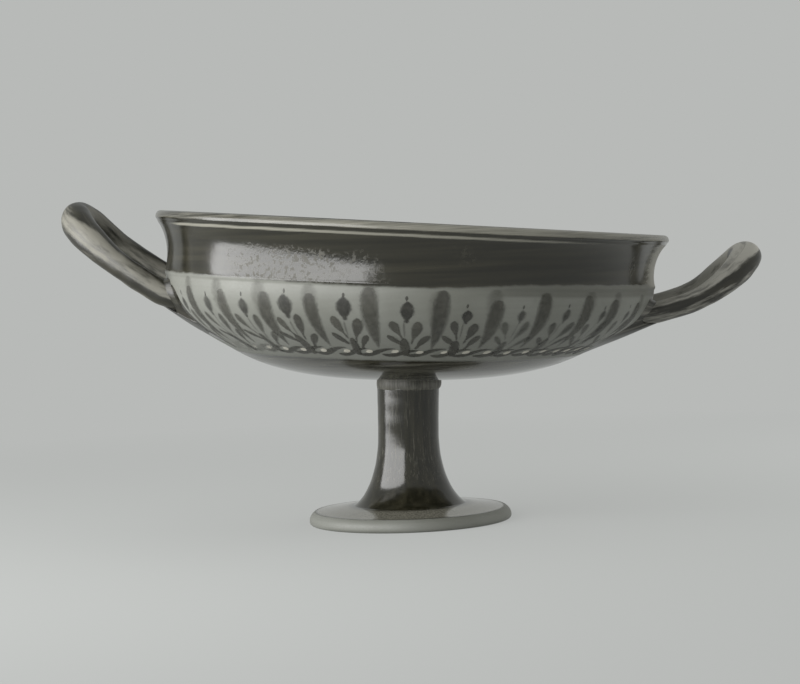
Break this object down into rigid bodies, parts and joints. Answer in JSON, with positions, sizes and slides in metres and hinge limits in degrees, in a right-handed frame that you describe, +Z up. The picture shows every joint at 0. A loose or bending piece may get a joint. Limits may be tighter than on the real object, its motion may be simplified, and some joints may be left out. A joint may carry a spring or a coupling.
{
  "type": "kylix",
  "caption": "Wide shallow footed drinking cup on a tall stem, with an offset lip, a floral band and upswept loop handles to either side.",
  "frame": {"origin": "on the surface that the cup stands on, under the middle of its overall width and depth; the slumped cup's foot is 5 mm to the -X side of it", "axes": "+Z up, X through the two handles with the lower handle on +X, -Y towards the viewer of the pictured side"},
  "size_m": [0.3062, 0.225, 0.1462],
  "materials": {
    "fired_clay": "fired, burnished by hand, with painted bands",
    "black_gloss": "semi-gloss sintered slip, worn in patches",
    "clay_slip": "matt"
  },
  "bodies": {
    "root": {"bowl": "fired_clay", "foot_and_stem": "black_gloss", "stem_fillet": "black_gloss", "stem_slip": "clay_slip", "handle_left": "black_gloss", "handle_left_front_slip": "clay_slip", "handle_left_back_slip": "clay_slip", "handle_right": "black_gloss", "handle_right_front_slip": "clay_slip", "handle_right_back_slip": "clay_slip"}
  },
  "joints": []
}
